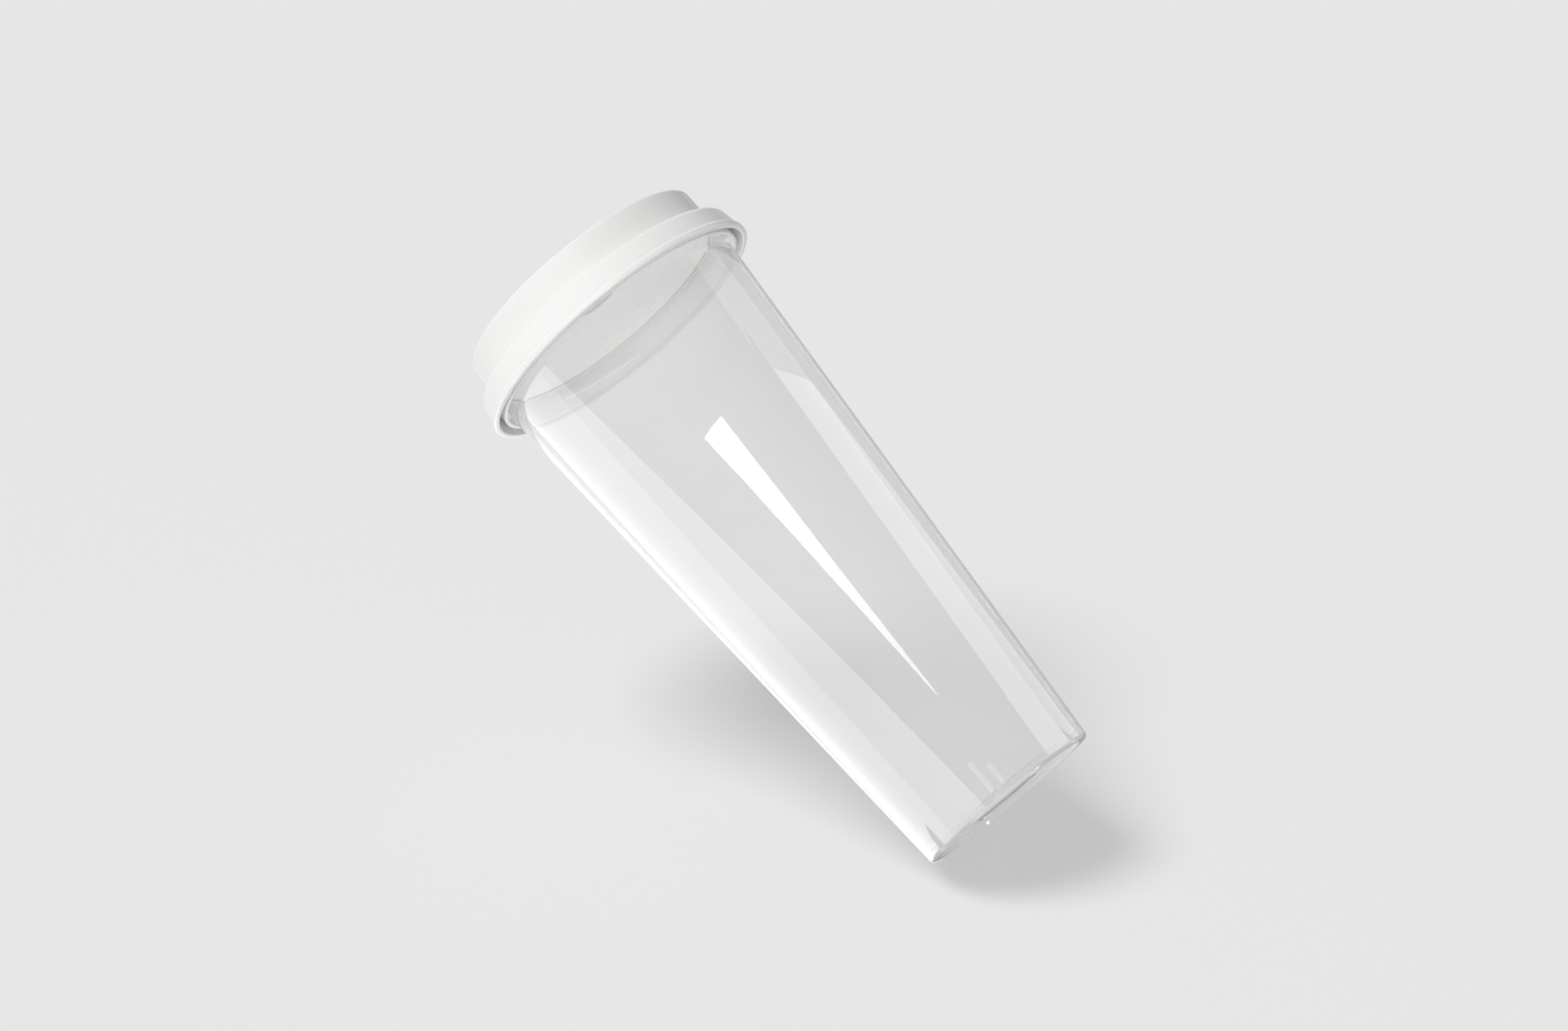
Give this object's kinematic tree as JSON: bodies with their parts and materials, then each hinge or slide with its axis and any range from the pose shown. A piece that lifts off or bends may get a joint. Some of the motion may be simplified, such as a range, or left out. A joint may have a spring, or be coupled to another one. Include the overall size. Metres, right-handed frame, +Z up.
{
  "type": "protein shaker bottle",
  "caption": "Clear tapered shaker cup with a white screw-on lid, a recessed drinking spout and a hinged flip cap.",
  "frame": {"origin": "centre of the foot ring, on the plane that it stands on", "axes": "+Z up along the cup's axis, -Y towards the drinking spout, +X to the right when the spout is at the front"},
  "size_m": [0.1, 0.1, 0.2113],
  "materials": {
    "clear_plastic": "clear, faintly milky, polished mould",
    "white_plastic": "white, satin gloss",
    "silicone": "translucent white, matt",
    "steel_pin": "drawn stainless wire"
  },
  "bodies": {
    "cup": {"cup": "clear_plastic"},
    "seal_ring": {"lid_seal": "silicone"},
    "lid": {"lid": "white_plastic", "hinge_pin": "steel_pin"},
    "flip_cap": {"flip_cap": "white_plastic", "spout_seal": "silicone"}
  },
  "joints": [
    {"name": "lid_lift", "type": "slide", "parent": "cup", "child": "seal_ring", "axis": [0, 0, 1], "range_m": [0, 0.0481]},
    {"name": "lid_turn", "type": "hinge", "parent": "seal_ring", "child": "lid", "pos_m": [0, 0, 0.1954], "axis": [0, 0, 1], "range_deg": [0, 1080]},
    {"name": "cap_hinge", "type": "hinge", "parent": "lid", "child": "flip_cap", "pos_m": [0, -0.0045, 0.203], "axis": [-1, 0, 0], "range_deg": [0, 120]}
  ],
  "couplings": [
    {"joint": "lid_lift", "follows": "lid_turn", "m_per_rad": 0.0025465}
  ]
}
